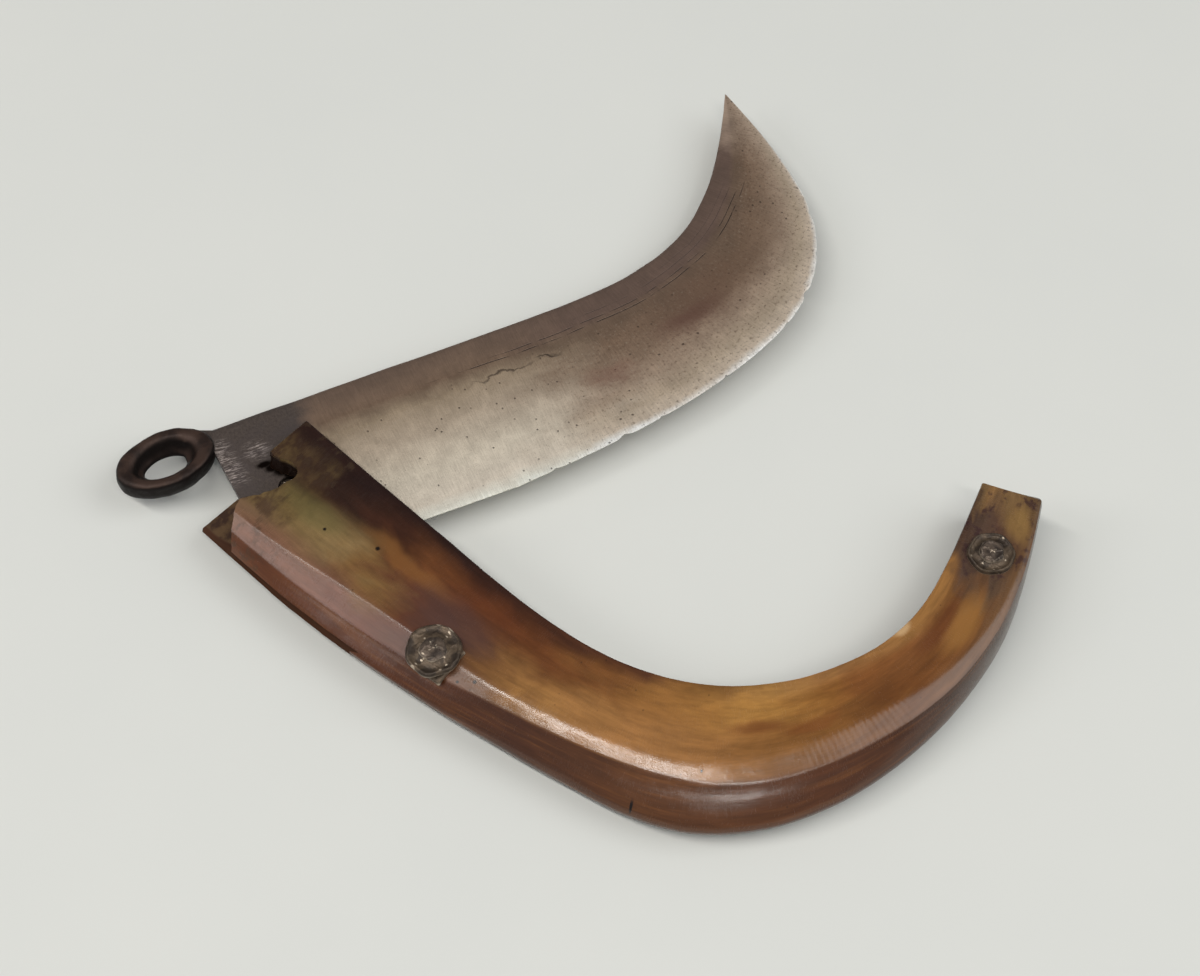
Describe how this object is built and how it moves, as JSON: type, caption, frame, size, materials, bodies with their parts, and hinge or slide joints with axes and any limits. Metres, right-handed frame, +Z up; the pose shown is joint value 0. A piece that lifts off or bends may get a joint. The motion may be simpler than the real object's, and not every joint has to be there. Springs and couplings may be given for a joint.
{
  "type": "folding sickle knife",
  "caption": "Folding sickle-shaped knife: curved steel blade with an iron ring, hinged in a slotted, curved horn grip held by rivets.",
  "frame": {"origin": "bottom centre of the whole knife's box, stored with the blade two thirds open, lying flat on the lower rivet heads", "axes": "+Z up, out of the side that shows the square washer; +X along the longest extent, from the ring towards the free end of the grip; +Y towards the blade's tip"},
  "size_m": [0.1438, 0.1384, 0.0128],
  "materials": {
    "horn": "polished, mottled amber to dark brown",
    "forged_steel": "worn, dark patina along the back, brighter edge",
    "rivet_iron": "hammered",
    "washer_metal": "hammered, dull"
  },
  "bodies": {
    "grip": {"horn_handle": "horn", "pivot_pin": "rivet_iron", "pivot_washer": "washer_metal", "stop_rivet": "rivet_iron", "stop_square_washer": "washer_metal", "stop_rosette": "washer_metal", "stop_low_washer": "washer_metal", "end_rivet": "rivet_iron", "end_cap_washer": "washer_metal", "end_low_washer": "washer_metal"},
    "blade": {"blade": "forged_steel"}
  },
  "joints": [
    {"name": "blade_pivot", "type": "hinge", "parent": "grip", "child": "blade", "pos_m": [-0.0445, -0.01139, 0.00595], "axis": [0, 0, 1], "range_deg": [-53, 26]}
  ]
}
